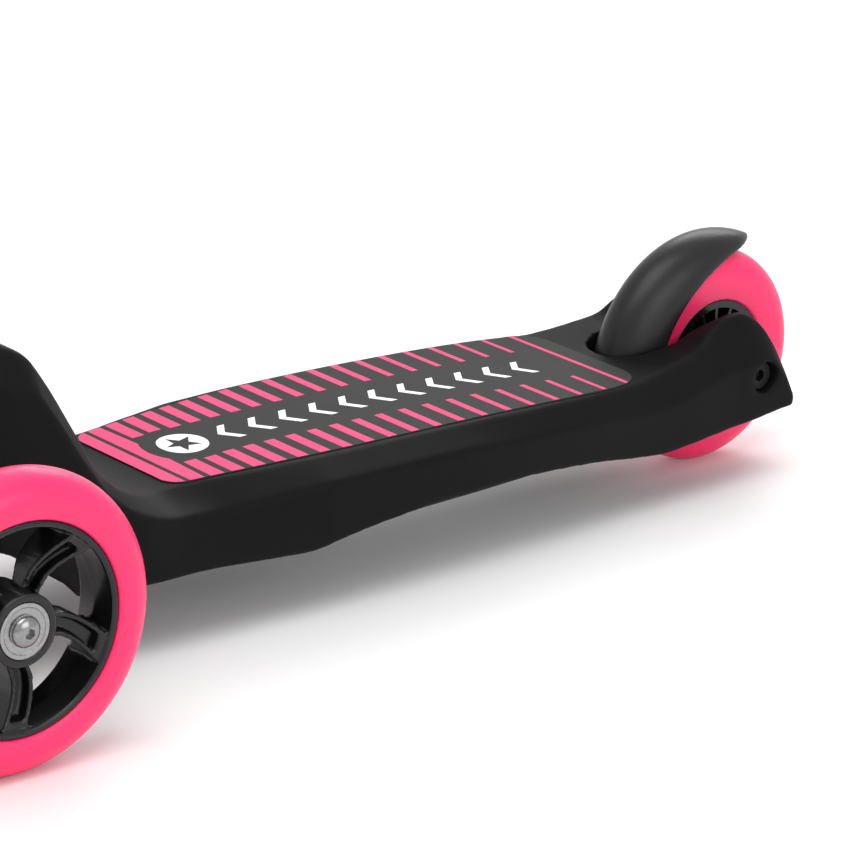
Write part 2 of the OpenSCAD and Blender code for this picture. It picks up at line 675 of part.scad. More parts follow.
// A spoke's outline from the boss to the rim, swirling as it goes out.
module spoke_outline(width) {
    r0 = boss_d / 2 - 1;
    r1 = front_rim_d / 2 - 1.5;
    steps = 6;
    function at(t, side) = let (r = mix(r0, r1, t), a = spoke_swirl * t * t)
        [r * cos(a) - side * width / 2 * sin(a), r * sin(a) + side * width / 2 * cos(a)];
    polygon(concat([for (i = [0:steps]) at(i / steps, -1)], [for (i = [steps:-1:0]) at(i / steps, 1)]));
}

module front_hub(x) color([0.06, 0.06, 0.07]) difference() {
    union() {
        tube_x(x - hub_half, x + hub_half, front_rim_d / 2, front_rim_d / 2 - rim_wall, front_y, front_r);
        rod_x(x - hub_half, x + hub_half, boss_d / 2, front_y, front_r);
        for (i = [0:spokes - 1])
            translate([x, front_y, front_r]) rotate([i * 360 / spokes + 15, 0, 0]) rotate([90, 0, 90]) {
                translate([0, 0, -5]) linear_extrude(10) spoke_outline(11);
            }
    }
    hub_bores(x, front_y, front_r);
    for (side = [-1, 1], i = [0:spokes - 1])
        translate([x, front_y, front_r]) rotate([i * 360 / spokes + 15, 0, 0]) rotate([90, 0, 90])
            translate([0, 0, side > 0 ? 2 : -12]) linear_extrude(10) difference() {
                spoke_outline(5);
                circle(r = boss_d / 2 + 1);
                difference() {
                    circle(r = front_rim_d);
                    circle(r = front_rim_d / 2 - rim_wall - 1.5);
                }
            }
}

module front_left_tyre() color([1.0, 0.28, 0.49]) tyre(wheel_x, front_y, front_r, front_rim_d / 2);
module front_right_tyre() color([1.0, 0.28, 0.49]) tyre(-wheel_x, front_y, front_r, front_rim_d / 2);
module front_left_hub() front_hub(wheel_x);
module front_right_hub() front_hub(-wheel_x);
module front_left_bearings() bearing_pair(wheel_x, front_y, front_r);
module front_right_bearings() bearing_pair(-wheel_x, front_y, front_r);

module rear_tyre() color([1.0, 0.28, 0.49]) tyre(0, rear_y, rear_r, rear_core_d / 2);
module rear_bearings() bearing_pair(0, rear_y, rear_r);
module rear_core() color([0.06, 0.06, 0.07]) difference() {
    union() {
        tube_x(-hub_half, hub_half, rear_core_d / 2, rear_core_d / 2 - rim_wall, rear_y, rear_r);
        rod_x(-hub_half, hub_half, bearing_od / 2 + 2.5, rear_y, rear_r);
        rod_x(-1.5, 1.5, rear_core_d / 2 - 1, rear_y, rear_r);
        for (i = [0:core_fins - 1])
            translate([0, rear_y, rear_r]) rotate([i * 360 / core_fins, 0, 0])
                translate([1 - hub_half, -0.9, bearing_od / 2 + 1])
                    cube([2 * hub_half - 2, 1.8, (rear_core_d - bearing_od) / 2 - 3]);
    }
    hub_bores(0, rear_y, rear_r);
}

module rear_axle_bolt() color([0.75, 0.76, 0.78]) difference() {
    union() {
        rod_x(-recess_x - 7, recess_x, axle_r, rear_y, rear_r);
        rod_x(recess_x, recess_x + 5, 6.4, rear_y, rear_r);
    }
    translate([recess_x + 2, rear_y, rear_r]) rotate([0, 90, 0]) cylinder(h = 9, r = 2.9, $fn = 6);
}

module rear_axle_nut() color([0.70, 0.71, 0.73]) difference() {
    translate([-recess_x - 6, rear_y, rear_r]) rotate([0, 90, 0]) cylinder(h = 6, r = 7, $fn = 6);
    rod_x(-60, 60, axle_r, rear_y, rear_r);
}

// Two tubes that keep the wheel in the middle of the slot, and the sleeve between the bearings
module rear_spacers() color([0.70, 0.71, 0.73]) {
    for (side = [-1, 1]) mirror([side < 0 ? 1 : 0, 0, 0])
        tube_x(hub_half + face_gap, slot_half, axle_r + 2, axle_r, rear_y, rear_r);
    tube_x(-sleeve_half, sleeve_half, axle_r + 2, axle_r, rear_y, rear_r);
}

// ---------- fender ----------

crown_z = rear_r - fender_drop;
pin_half = slot_half + 12;
pin_y = rear_y - rear_r - pin_ahead;
pin_z = rear_r + pin_up;
barrel_r = pin_d / 2 + 2.4;
fender_steps = 20;
// Room inside the fender for the tyre, round the tread and beside it
press_room = 3.2;
side_room = 0.7;

// Half-width and skirt depth along the fender, t = 0 at its base and 1 at its tip
skirt_deep = 22.5;
tip_t = 1.8;
function fender_w(t) = fender_half * (1 - 0.6 * pow(t, 6));
function fender_depth(t) = tip_t + skirt_deep * (1 - pow(t, 2.3));

// A round-topped ring across the fender at t. Each side goes down from the crown to its skirt.
function fender_ring(t, angle, wall, open) =
    let (w = fender_w(t) - wall, d = fender_depth(t), out = fender_r - wall, rise = 0.97 * d,
         arch = [for (b = [0:18:180]) [w * cos(b), out - rise * (1 - sin(b))]],
         low = out - d - open,
         section = concat([[-w, low]], [for (i = [10:-1:0]) arch[i]], [[w, low]]))
    [for (p = section) [p[0], rear_y + p[1] * sin(angle), crown_z + p[1] * cos(angle)]];

module fender() color([0.14, 0.14, 0.15]) difference() {
    span = fender_to - fender_from;
    union() {
        difference() {
            loft([for (i = [0:fender_steps])
                fender_ring(i / fender_steps, fender_from + span * i / fender_steps, 0, 0)]);
            loft([for (i = [0:fender_steps])
                fender_ring(i / fender_steps, fender_from - 1 + (span - 1) * i / fender_steps,
                    fender_wall, 20)]);
        }
        rod_x(-fender_half, fender_half, barrel_r, pin_y, pin_z);
    }
    rod_x(-40, 40, pin_d / 2 + running, pin_y, pin_z);
    // Room for the spring between the two pin barrels, and for the tyre
    rod_x(-7, 7, barrel_r + 0.1, pin_y, pin_z);
    turned_x(0, rear_y, rear_r) polygon(concat([[0, -tyre_w / 2 - side_room]],
        [for (a = [-90:15:90]) [rear_r - tyre_crown + (tyre_crown + press_room) * cos(a),
                                (tyre_w / 2 + side_room) * sin(a)]],
        [[0, tyre_w / 2 + side_room]]));
    for (a = PAD_SCREWS) at_crown(a) translate([0, 0, pad_r - 10]) cylinder(h = 11, r = pad_screw_r);
}

module fender_pin() color([0.75, 0.76, 0.78]) rod_x(-pin_half, pin_half, pin_d / 2, pin_y, pin_z);

// Torsion spring: close coils round the pin and two straight legs
wire_d = 1.4;
coil_r = pin_d / 2 + 0.2 + wire_d / 2;
leg_r = wire_d / 2 - 0.1;
leg_out = 3.1;
side_coils = 2;
module fender_spring() color([0.72, 0.73, 0.75]) {
    turned_x(0, pin_y, pin_z) polygon(concat([[pin_d / 2 + 0.2, -(side_coils + 0.5) * wire_d]],
        [for (i = [-side_coils:side_coils], a = [-90:30:60])
            [coil_r + wire_d / 2 * cos(a), (i + 0.5 * sin(a)) * wire_d]],
        [[coil_r, (side_coils + 0.5) * wire_d], [pin_d / 2 + 0.2, (side_coils + 0.5) * wire_d]]));
    translate([-side_coils * wire_d, pin_y - coil_r + 0.15, pin_z - 14]) cylinder(h = 14, r = leg_r, $fn = 24);
    // The upper leg leans on the inside of the fender's base
    translate([side_coils * wire_d, pin_y + leg_out, pin_z + sqrt(pow(coil_r, 2) - pow(leg_out, 2))])
        cylinder(h = 5.5, r = leg_r, $fn = 24);
}

module at_crown(a) {
    translate([0, rear_y, crown_z]) rotate([-a, 0, 0]) children();
}
pad_r = fender_r - fender_wall - 0.2;
pad_half = 5;
pad_from = -26;
pad_to = 4;
PAD_SCREWS = [-20, -2];
pad_screw_r = 1.3;

// Drop of the fender's inside at x from the crown, where the pad ends and the fender is narrowest
pad_t_end = (pad_to - fender_from) / (fender_to - fender_from);
room_w = fender_w(pad_t_end) - fender_wall;
room_rise = 0.97 * fender_depth(pad_t_end);
function pad_drop(x) = 0.1 + room_rise * (1 - sqrt(1 - pow(x / room_w, 2)));

// Brake pad: an arc under the fender's crown
module brake_pad() color([0.55, 0.56, 0.58]) difference() {
    translate([0, rear_y, crown_z]) rotate([0, 90, 0]) rotate([0, 0, 180 - pad_to])
        rotate_extrude(angle = pad_to - pad_from) polygon(concat(
            [[pad_r - pad_drop(pad_half) - pad_t, -pad_half]],
            [for (i = [-2:2]) [pad_r - pad_drop(i * pad_half / 2), i * pad_half / 2]],
            [[pad_r - pad_drop(pad_half) - pad_t, pad_half]]));
    for (a = PAD_SCREWS) at_crown(a) {
        translate([0, 0, pad_r - 10]) cylinder(h = 12, r = pad_screw_r);
        translate([0, 0, pad_r - 10]) cylinder(h = 10 - 1.6, r = 2.4);
    }
}

module pad_screws() color([0.55, 0.56, 0.58]) for (a = PAD_SCREWS) at_crown(a) {
    translate([0, 0, pad_r - 2.8]) cylinder(h = 1.2, r = 2.2);
    translate([0, 0, pad_r - 2.8]) cylinder(h = 3.4, r = pad_screw_r);
}

deck_shell();
deck_cover();
cover_screws();
grip_sheet();
stem_socket();
kingpin();
kingpin_washer();
kingpin_nut();
rear_axle_bolt();
rear_axle_nut();
rear_spacers();
fender_pin();
lower_tube();
guide_bush();
clamp_collar();
clamp_bolt();
clamp_nut();
lever_pin();
truck_beam();
truck_bushings();
axle_washers();
front_left_bolt();
front_right_bolt();
front_left_sleeve();
front_right_sleeve();
front_left_tyre();
front_left_hub();
front_left_bearings();
front_right_tyre();
front_right_hub();
front_right_bearings();
rear_tyre();
rear_core();
rear_bearings();
fender();
fender_spring();
brake_pad();
pad_screws();
clamp_lever();
release_button();
release_spring();
upper_tube();
t_joint();
t_joint_screw();
handlebar();
left_grip();
right_grip();
left_end_cap();
right_end_cap();
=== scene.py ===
"""Kick scooter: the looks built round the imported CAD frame.

Lengths inside the builders are millimetres in the row frame (+Z up, -Y forward, +X to the rider's
left) and become metres when a mesh is made. Places come from the frame's own boxes and joints.
"""
import json
import math

import bmesh
import bpy
import numpy as np
from mathutils import Matrix, Vector


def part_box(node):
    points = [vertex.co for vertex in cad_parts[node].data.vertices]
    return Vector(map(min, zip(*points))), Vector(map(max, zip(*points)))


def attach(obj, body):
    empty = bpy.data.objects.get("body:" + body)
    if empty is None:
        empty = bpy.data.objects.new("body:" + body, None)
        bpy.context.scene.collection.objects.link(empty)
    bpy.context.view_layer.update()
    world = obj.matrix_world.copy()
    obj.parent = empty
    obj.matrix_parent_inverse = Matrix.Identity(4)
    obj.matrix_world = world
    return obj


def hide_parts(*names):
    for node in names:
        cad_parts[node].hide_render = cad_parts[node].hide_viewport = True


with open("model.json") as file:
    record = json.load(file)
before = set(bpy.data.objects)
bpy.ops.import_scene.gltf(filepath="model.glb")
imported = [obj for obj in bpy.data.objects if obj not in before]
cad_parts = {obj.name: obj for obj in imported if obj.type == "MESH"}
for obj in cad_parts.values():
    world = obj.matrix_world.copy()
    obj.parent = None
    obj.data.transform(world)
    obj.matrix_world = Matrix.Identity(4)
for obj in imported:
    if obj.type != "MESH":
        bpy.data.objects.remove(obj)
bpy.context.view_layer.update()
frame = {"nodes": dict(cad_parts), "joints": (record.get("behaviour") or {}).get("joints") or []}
MM = 0.001


# ---------- places read from the frame ----------

def box_mm(node):
    low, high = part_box(node)
    return np.array(low) / MM, np.array(high) / MM


def middle(node):
    low, high = box_mm(node)
    return (low + high) / 2


def joint(name):
    return next(j for j in frame["joints"] if j["name"] == name)


tyre_low, tyre_high = box_mm("front_left_tyre")
wheel_x, front_y, front_r = middle("front_left_tyre")
_, rear_y, rear_r = middle("rear_tyre")
tyre_w = tyre_high[0] - tyre_low[0]
deck_half = box_mm("deck_shell")[1][0]
deck_top = box_mm("grip_sheet")[0][2]
front_rim = 42.5
rear_rim = 27.5
tyre_crown = 12.0

# The fender turns about its pin and is wrapped round the rear wheel from base to tip.
pin_low, pin_high = box_mm("fender_pin")
_, pin_y, pin_z = middle("fender_pin")
pin_r = (pin_high[2] - pin_low[2]) / 2
barrel_r = pin_r + 2.4
fender_r = rear_r + 12.5
crown_z = rear_r - 4
fender_half = tyre_w / 2 + 3.5
slot_half = fender_half + 1.5
fender_wall = 2.5
fender_from, fender_to = -84, 24


# ---------- mesh tools ----------

def new_object(name, verts, faces):
    mesh = bpy.data.meshes.new(name)
    mesh.from_pydata([tuple(float(c) * MM for c in v) for v in verts], [], faces)
    mesh.validate()
    obj = bpy.data.objects.new(name, mesh)
    bpy.context.scene.collection.objects.link(obj)
    return obj


def loft(name, rings, closed=False):
    """A closed skin through rings of equal length; the ends are capped unless it closes on itself."""
    n, m = len(rings[0]), len(rings)
    verts = [p for ring in rings for p in ring]
    faces = []
    for i in range(m if closed else m - 1):
        a, b = i * n, ((i + 1) % m) * n
        for j in range(n):
            k = (j + 1) % n
            faces.append((a + j, a + k, b + k, b + j))
    if not closed:
        faces.append(tuple(reversed(range(n))))
        faces.append(tuple((m - 1) * n + j for j in range(n)))
    obj = new_object(name, verts, faces)
    fix_normals(obj)
    return obj


def fix_normals(obj):
    bm = bmesh.new()
    bm.from_mesh(obj.data)
    bmesh.ops.recalc_face_normals(bm, faces=bm.faces)
    bm.to_mesh(obj.data)
    bm.free()


def rounded(corners, steps=5):
    """Points of a closed outline whose corners (a, b, radius) are rounded with arcs."""
    pts = []
    count = len(corners)
    for i, (a, b, r) in enumerate(corners):
        here = np.array([a, b], float)
        if r <= 0:
            pts.append(here)
            continue
        before = np.array(corners[i - 1][:2], float) - here
        after = np.array(corners[(i + 1) % count][:2], float) - here
        lb, la = np.linalg.norm(before), np.linalg.norm(after)
        before, after = before / lb, after / la
        half = math.acos(np.clip(before @ after, -1, 1)) / 2
        cut = min(r / math.tan(half), 0.48 * lb, 0.48 * la)
        start, end = here + before * cut, here + after * cut
        for k in range(steps + 1):
            t = k / steps
            pts.append((1 - t) ** 2 * start + 2 * t * (1 - t) * here + t * t * end)
    return pts


def turned(name, profile, centre, steps=96, axis="x"):
    """Revolves a closed profile of (radius, along) about an axis through centre."""
    rings = []
    for i in range(steps):
        a = 2 * math.pi * i / steps
        ring = []
        for r, along in profile:
            if axis == "x":
                ring.append((centre[0] + along, centre[1] + r * math.cos(a), centre[2] + r * math.sin(a)))
            else:
                ring.append((centre[0] + r * math.cos(a), centre[1] + r * math.sin(a), centre[2] + along))
        rings.append(ring)
    return loft(name, rings, closed=True)


def rod(name, x0, x1, r, y, z, steps=64):
    rings = [[(x, y + r * math.cos(2 * math.pi * i / steps), z + r * math.sin(2 * math.pi * i / steps))
              for i in range(steps)] for x in (x0, x1)]
    return loft(name, rings)


def prism(name, outline, z0, z1):
    """An upright prism over an (x, y) outline."""
    return loft(name, [[(x, y, z0) for x, y in outline], [(x, y, z1) for x, y in outline]])


def box_solid(name, low, high):
    (x0, y0, z0), (x1, y1, z1) = low, high
    return prism(name, [(x0, y0), (x1, y0), (x1, y1), (x0, y1)], z0, z1)


def bake_modifiers(obj):
    """Replaces the mesh with what its modifiers make of it."""
    graph = bpy.context.evaluated_depsgraph_get()
    mesh = bpy.data.meshes.new_from_object(obj.evaluated_get(graph))
    obj.modifiers.clear()
    old = obj.data
    obj.data = mesh
    bpy.data.meshes.remove(old)


def cut(obj, *cutters):
    for cutter in cutters:
        mod = obj.modifiers.new("cut", "BOOLEAN")
        mod.operation = "DIFFERENCE"
        mod.solver = "EXACT"
        mod.object = cutter
        bake_modifiers(obj)
        bpy.data.objects.remove(cutter)


def join(name, parts):
    """One object that holds the meshes of several."""
    verts, faces = [], []
    for part in parts:
        base = len(verts)
        verts += [tuple(c / MM for c in v.co) for v in part.data.vertices]
        faces += [tuple(base + i for i in p.vertices) for p in part.data.polygons]
        bpy.data.objects.remove(part)
    return new_object(name, verts, faces)


def moulded(obj, voxel, smooth=6, keep=1.0):
    """Merges a rough solid into one moulding with softly rounded edges."""
    mod = obj.modifiers.new("remesh", "REMESH")
    mod.mode = "VOXEL"
    mod.voxel_size = voxel * MM
    mod = obj.modifiers.new("smooth", "SMOOTH")
    mod.factor = 0.5
    mod.iterations = smooth
    if keep < 1:
        mod = obj.modifiers.new("thin", "DECIMATE")
        mod.ratio = keep
    bake_modifiers(obj)
    obj.data.polygons.foreach_set("use_smooth", [True] * len(obj.data.polygons))
    return obj


def shade(obj, angle=35):
    obj.data.polygons.foreach_set("use_smooth", [True] * len(obj.data.polygons))
    obj.data.set_sharp_from_angle(angle=math.radians(angle))
    return obj


def place(obj, material, body, slot, *nodes):
    obj.data.materials.clear()
    obj.data.materials.append(material)
    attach(obj, body)
    if nodes:
        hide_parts(*nodes)
    return obj


# ---------- materials ----------

def material(name, colour, rough, metallic=0.0, coat=0.0, specular=0.5, sheen=0.0):
    mat = bpy.data.materials.new(name)
    mat.use_nodes = True
    nodes, links = mat.node_tree.nodes, mat.node_tree.links
    shader = nodes["Principled BSDF"]
    shader.inputs["Base Color"].default_value = (*colour, 1)
    shader.inputs["Roughness"].default_value = rough
    shader.inputs["Metallic"].default_value = metallic
    shader.inputs["Coat Weight"].default_value = coat
    shader.inputs["Specular IOR Level"].default_value = specular
    shader.inputs["Sheen Weight"].default_value = sheen
    return mat, nodes, links, shader


def noise(nodes, links, scale, detail=4.0, stretch=(1, 1, 1), roughness=0.55):
    """Noise in object space: scale is in cycles per metre."""
    coords = nodes.new("ShaderNodeTexCoord")
    mapping = nodes.new("ShaderNodeMapping")
    mapping.inputs["Scale"].default_value = stretch
    tex = nodes.new("ShaderNodeTexNoise")
    tex.inputs["Scale"].default_value = scale
    tex.inputs["Detail"].default_value = detail
    tex.inputs["Roughness"].default_value = roughness
    links.new(coords.outputs["Object"], mapping.inputs["Vector"])
    links.new(mapping.outputs["Vector"], tex.inputs["Vector"])
    return tex.outputs["Fac"]


def ramp(nodes, links, value, low, high, dark, light):
    """Colour or grey between dark and light as value goes from low to high."""
    node = nodes.new("ShaderNodeValToRGB")
    node.color_ramp.elements[0].position = low
    node.color_ramp.elements[1].position = high
    node.color_ramp.elements[0].color = (*dark, 1)
    node.color_ramp.elements[1].color = (*light, 1)
    links.new(value, node.inputs["Fac"])
    return node.outputs["Color"]


def bump(nodes, links, shader, value, height, strength=1.0, below=None):
    node = nodes.new("ShaderNodeBump")
    node.inputs["Strength"].default_value = strength
    node.inputs["Distance"].default_value = height
    links.new(value, node.inputs["Height"])
    if below is not None:
        links.new(below, node.inputs["Normal"])
    links.new(node.outputs["Normal"], shader.inputs["Normal"])
    return node.outputs["Normal"]


def edge_highlight_mask(nodes, links, gain):
    """Lighter where an edge is convex: a painted highlight along edges and creases."""
    geometry = nodes.new("ShaderNodeNewGeometry")
    return ramp(nodes, links, geometry.outputs["Pointiness"], 0.5, 0.5 + gain, (0, 0, 0), (1, 1, 1))


def mixed(nodes, links, factor, first, second):
    node = nodes.new("ShaderNodeMix")
    node.data_type = "RGBA"
    links.new(factor, node.inputs[0])
    for socket, value in ((node.inputs[6], first), (node.inputs[7], second)):
        if isinstance(value, tuple):
            socket.default_value = (*value, 1)
        else:
            links.new(value, socket)
    return node.outputs[2]


def scaled(colour, k):
    return tuple(min(1.0, c * k) for c in colour)


def moulded_plastic(name, colour, rough, grain=1400, height=0.00006, coat=0.0, specular=0.5):
    """Black or coloured moulding: fine spark texture, faint flow marks and a painted highlight on convex
    edges.
    """
    mat, nodes, links, shader = material(name, colour, rough, coat=coat, specular=specular)
    flow = noise(nodes, links, 22, 3, (1, 0.35, 1))
    fine = noise(nodes, links, grain, 2)
    body = ramp(nodes, links, flow, 0.3, 0.7, scaled(colour, 0.86), scaled(colour, 1.16))
    # Painted highlight: convex edges and creases are lightened towards 1.5 times the base colour.
    painted_edge_highlight = edge_highlight_mask(nodes, links, 0.12)
    links.new(mixed(nodes, links, painted_edge_highlight, body, scaled(colour, 1.5)), shader.inputs["Base Color"])
    links.new(ramp(nodes, links, flow, 0.25, 0.75, (rough - 0.05,) * 3, (rough + 0.05,) * 3),
              shader.inputs["Roughness"])
    bump(nodes, links, shader, fine, height)
    return mat


def cast_urethane(name, colour):
    """Pink tyre: faint cloudiness, very fine surface and light scuffing on the tread."""
    mat, nodes, links, shader = material(name, colour, 0.42, coat=0.08)
    shader.inputs["Subsurface Weight"].default_value = 0.25
    shader.inputs["Subsurface Radius"].default_value = (1.0, 0.35, 0.4)
    shader.inputs["Subsurface Scale"].default_value = 0.004
    cloud = noise(nodes, links, 45, 3)
    body = ramp(nodes, links, cloud, 0.3, 0.7, scaled(colour, 0.94), colour)
    links.new(body, shader.inputs["Base Color"])
    links.new(ramp(nodes, links, noise(nodes, links, 160, 5), 0.3, 0.75, (0.36,) * 3, (0.5,) * 3),
              shader.inputs["Roughness"])
    bump(nodes, links, shader, noise(nodes, links, 900, 3), 0.00003)
    return mat


def metal(name, colour, rough, brushed=(1, 1, 1), grain=700, height=0.00002, metallic=1.0):
    """Metal with fine grain; brushed stretches the grain along an axis."""
    mat, nodes, links, shader = material(name, colour, rough, metallic=metallic)
    streak = noise(nodes, links, grain, 4, brushed)
    body = ramp(nodes, links, streak, 0.25, 0.75, scaled(colour, 0.8), scaled(colour, 1.08))
    links.new(body, shader.inputs["Base Color"])
    links.new(ramp(nodes, links, streak, 0.2, 0.8, (rough * 0.7,) * 3, (rough * 1.35,) * 3),
              shader.inputs["Roughness"])
    bump(nodes, links, shader, streak, height)
    return mat


def soft_rubber(name, colour):
    mat, nodes, links, shader = material(name, colour, 0.7, sheen=0.15)
    body = ramp(nodes, links, noise(nodes, links, 60, 4), 0.3, 0.7, scaled(colour, 0.85), colour)
    links.new(body, shader.inputs["Base Color"])
    bump(nodes, links, shader, noise(nodes, links, 1100, 3), 0.00008)
    return mat


def printed_film(name, colour):
    """Anti-slip film: matt print with a fine sandy grain."""
    mat, nodes, links, shader = material(name, colour, 0.66, specular=0.12)
    cloud = noise(nodes, links, 30, 3)
    body = ramp(nodes, links, cloud, 0.3, 0.7, scaled(colour, 0.93), scaled(colour, 1.04))
    speck = ramp(nodes, links, noise(nodes, links, 2600, 2), 0.35, 0.65, (0, 0, 0), (0.25, 0.25, 0.25))
    links.new(mixed(nodes, links, speck, body, scaled(colour, 1.12)), shader.inputs["Base Color"])
    bump(nodes, links, shader, noise(nodes, links, 2600, 2), 0.00005)
    return mat


PINK = (1.0, 0.015, 0.14)
deck_black = moulded_plastic("deck_black", (0.0055, 0.0055, 0.0058), 0.52, specular=0.07)
cover_black = moulded_plastic("cover_black", (0.0045, 0.0045, 0.005), 0.6, specular=0.15)
fender_black = moulded_plastic("fender_black", (0.0085, 0.0085, 0.009), 0.36, grain=1000, specular=0.34)
hub_black = moulded_plastic("hub_black", (0.004, 0.004, 0.0045), 0.24, grain=500, height=0.00002,
                            coat=0.12, specular=0.35)
joint_black = moulded_plastic("joint_black", (0.010, 0.010, 0.011), 0.48, specular=0.3)
bush_black = moulded_plastic("bush_black", (0.014, 0.014, 0.015), 0.4, specular=0.3)
tyre_pink = cast_urethane("tyre_pink", PINK)
grip_pink = soft_rubber("grip_pink", PINK)
urethane_cream = soft_rubber("urethane_cream", (0.62, 0.55, 0.38))
film_grey = printed_film("film_grey", (0.036, 0.036, 0.0365))
print_pink = printed_film("print_pink", (0.76, 0.085, 0.21))
print_white = printed_film("print_white", (0.93, 0.93, 0.93))
steel_ground = metal("steel_ground", (0.34, 0.34, 0.345), 0.26)
steel_zinc = metal("steel_zinc", (0.58, 0.58, 0.59), 0.3)
steel_bolt = metal("steel_bolt", (0.3, 0.3, 0.305), 0.22)
# Nearly black steel. On the rear axle bolt and nut this black is painted shade for the deep wheel
# recesses.
dark_steel_and_recess_shade = metal("dark_steel_and_recess_shade", (0.006, 0.006, 0.007), 0.6, metallic=0.3)
aluminium = metal("aluminium", (0.78, 0.79, 0.80), 0.32, brushed=(1, 1, 0.06))


# ---------- deck ----------

def smooth_curve(points, at):
    """Monotone cubic through (y, value) points, so that a station's value never overshoots."""
    y = np.array([p[0] for p in points], float)
    v = np.array([p[1] for p in points], float)
    h = np.diff(y)
    slope = np.diff(v) / h
    tangent = np.zeros_like(v)
    for i in range(1, len(v) - 1):
        if slope[i - 1] * slope[i] > 0:
            w1, w2 = 2 * h[i] + h[i - 1], h[i] + 2 * h[i - 1]
            tangent[i] = (w1 + w2) / (w1 / slope[i - 1] + w2 / slope[i])
    tangent[0], tangent[-1] = slope[0], slope[-1]
    i = np.clip(np.searchsorted(y, at) - 1, 0, len(h) - 1)
    t = (at - y[i]) / h[i]
    return ((2 * t**3 - 3 * t**2 + 1) * v[i] + (t**3 - 2 * t**2 + t) * h[i] * tangent[i]
            + (3 * t**2 - 2 * t**3) * v[i + 1] + (t**3 - t**2) * h[i] * tangent[i + 1])


block_half = deck_half - 3
block_top = front_r + 97
fork_half = 45.0
fork_top = rear_r + 28
bevel_drop = 7.5
bevel_w = 14.0


def risen(f):
    return deck_top + (block_top - deck_top) * f


# Deck stations, front to back: y, crease half-width, top half-width, top height, crease height,
# height of the wall's lower edge.
crease_z = deck_top - bevel_drop
middle_y = (front_y + rear_y) / 2
STATIONS = [
    (front_y - 52, block_half - 27, block_half - 36, risen(0.50), risen(0.34), front_r - 6),
    (front_y - 42, block_half - 15, block_half - 25, risen(0.72), risen(0.53), front_r - 14),
    (front_y - 25, block_half - 5, block_half - 15, risen(0.90), risen(0.72), front_r - 19),
    (front_y - 5, block_half - 1, block_half - 10, risen(1.00), risen(0.83), front_r - 22),
    (front_y + 20, block_half, block_half - 9, risen(0.93), risen(0.78), front_r - 24),
    (front_y + 42, block_half, block_half - 9, risen(0.83), risen(0.66), front_r - 25),
    (front_y + 54, block_half, block_half - 9, risen(0.76), risen(0.61), front_r - 26),
    (front_y + 62, block_half, block_half - 9, risen(0.65), risen(0.50), front_r - 26),
    (front_y + 78, block_half, block_half - 9, risen(0.37), risen(0.24), front_r - 27),
    (front_y + 90, block_half, block_half - 9, risen(0.16), risen(0.08), front_r - 27),
    (front_y + 104, block_half + 1, block_half - 11, risen(0.06), deck_top - 0.3 * bevel_drop, 31.5),
    (front_y + 130, deck_half - 6, deck_half - 24, deck_top, crease_z - 1.7, 31.5),
    (front_y + 145, deck_half - 7, deck_half - 22.5, deck_top, crease_z - 2.5, 31),
    (front_y + 163, deck_half - 4.8, deck_half - 19.5, deck_top, crease_z - 1.6, 29.8),
    (front_y + 190, deck_half - 1.2, deck_half - bevel_w - 2, deck_top, crease_z, 28.4),
    (front_y + 200, deck_half, deck_half - bevel_w - 1, deck_top, crease_z + 0.5, 29.8),
    (front_y + 228, deck_half, deck_half - bevel_w, deck_top, crease_z + 0.5, 33.5),
    (middle_y + 37, deck_half - 1, deck_half - bevel_w, deck_top, crease_z, 36),
    (middle_y + 69, deck_half - 3, deck_half - bevel_w, deck_top, crease_z - 2, 36),
    (rear_y - 110, deck_half - 7.5, deck_half - bevel_w - 2, deck_top, crease_z - 5, 32.5),
    (rear_y - 78, fork_half + 4, fork_half - 4, deck_top, crease_z - 8, 27.8),
    (rear_y - 60, fork_half + 2.5, fork_half - 7, deck_top, crease_z - 7.5, 26),
    (rear_y - 42, fork_half + 1.5, fork_half - 10, deck_top + 0.5, crease_z - 3, 27),
    (rear_y - 32, fork_half + 0.8, fork_half - 12, deck_top + 3, crease_z - 1, 27.8),
    (rear_y - 25, fork_half + 0.4, fork_half - 13, fork_top - 6, crease_z + 0.5, 28.4),
    (rear_y - 16, fork_half, fork_half - 14, fork_top - 1.2, crease_z + 1, 29.2),
    (rear_y - 6, fork_half, fork_half - 14, fork_top, crease_z + 1.5, 30),
    (rear_y + 4, fork_half, fork_half - 12, fork_top - 5, crease_z, 31.3),
    (rear_y + 11, fork_half, fork_half - 8, fork_top - 16, crease_z - 6, 32.2),
    (rear_y + 19, fork_half, fork_half - 7, fork_top - 34, crease_z - 20, 33),
]


# How far the wall's foot stands out past its crease: y, spread.
FLARE = [(front_y + 100, 0), (front_y + 130, 5.5), (front_y + 145, 6.7),
         (front_y + 163, 4.6), (front_y + 190, 1.2), (front_y + 204, 0)]


def arch_drop(y):
    """How far the standing surface lies below the deck's middle, which is its highest point."""
    crown_y, fall_over = front_y + 245, 125
    drop = min(3.1, 3.0 * ((y - crown_y) / fall_over) ** 2)
    near = np.clip((y - (front_y + 95)) / 24, 0, 1) * np.clip((rear_y - 42 - y) / 28, 0, 1)
    return float(drop * near)


def deck_values(y):
    values = [float(smooth_curve([(s[0], s[k]) for s in STATIONS], y)) for k in range(1, 6)]
    values[2] -= arch_drop(y)
    return values


